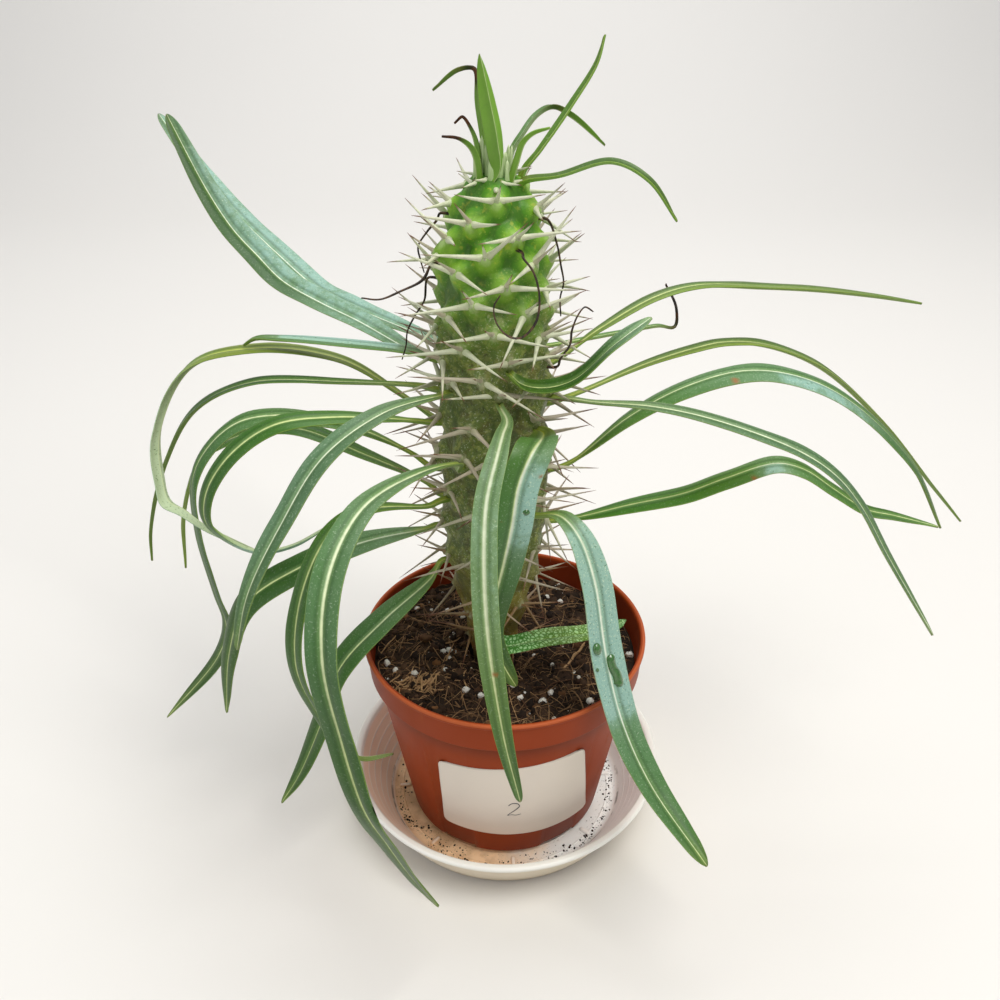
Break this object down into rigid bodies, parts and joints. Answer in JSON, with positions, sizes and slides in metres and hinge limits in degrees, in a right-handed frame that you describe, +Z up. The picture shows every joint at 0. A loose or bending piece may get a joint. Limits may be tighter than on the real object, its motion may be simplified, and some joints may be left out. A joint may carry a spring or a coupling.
{
  "type": "potted madagascar palm",
  "caption": "Spiny upright succulent with long arching strap leaves, growing in a round plastic pot of soil that stands on a dished saucer.",
  "frame": {"origin": "middle of the saucer's flat underside, which is on the axis of the saucer and the pot", "axes": "+Z up along the pot's axis; -Y towards the viewer of the picture, +X to the viewer's right"},
  "size_m": [0.3905, 0.2866, 0.3231],
  "materials": {
    "saucer": "smooth moulded, dull with dust and brown water marks on the floor",
    "pot": "fine matt mould texture, a little worn at the rim",
    "label": "coated paper, slightly yellowed",
    "soil": "loose crumbs with fibres and white grains",
    "stem": "waxy green skin with pale spines",
    "leaf": "satin green with a pale midrib",
    "young_leaf": "satin yellow-green",
    "dry_leaf": "dry, dull and brittle"
  },
  "bodies": {
    "root": {"dry_leaf_1": "dry_leaf", "dry_leaf_2": "dry_leaf", "dry_leaf_3": "dry_leaf", "dry_leaf_4": "dry_leaf", "dry_leaf_5": "dry_leaf", "dry_leaf_6": "dry_leaf", "label": "label", "leaf_back_1": "leaf", "leaf_back_2": "leaf", "leaf_back_3": "leaf", "leaf_front_1": "leaf", "leaf_front_2": "leaf", "leaf_front_3": "leaf", "leaf_front_4": "leaf", "leaf_front_5": "leaf", "leaf_front_6": "leaf", "leaf_front_7": "leaf", "leaf_left_1": "leaf", "leaf_left_10": "leaf", "leaf_left_2": "leaf", "leaf_left_3": "leaf", "leaf_left_4": "leaf", "leaf_left_5": "leaf", "leaf_left_6": "leaf", "leaf_left_7": "leaf", "leaf_left_8": "leaf", "leaf_left_9": "leaf", "leaf_right_1": "leaf", "leaf_right_2": "leaf", "leaf_right_3": "leaf", "leaf_right_4": "leaf", "leaf_right_5": "leaf", "leaf_right_6": "leaf", "leaf_right_7": "leaf", "pot": "pot", "saucer": "saucer", "soil": "soil", "stem": "stem", "young_leaf_1": "young_leaf", "young_leaf_2": "young_leaf", "young_leaf_3": "young_leaf", "young_leaf_4": "young_leaf", "young_leaf_5": "young_leaf", "young_leaf_6": "young_leaf", "young_leaf_7": "young_leaf", "young_leaf_8": "young_leaf"}
  },
  "joints": []
}
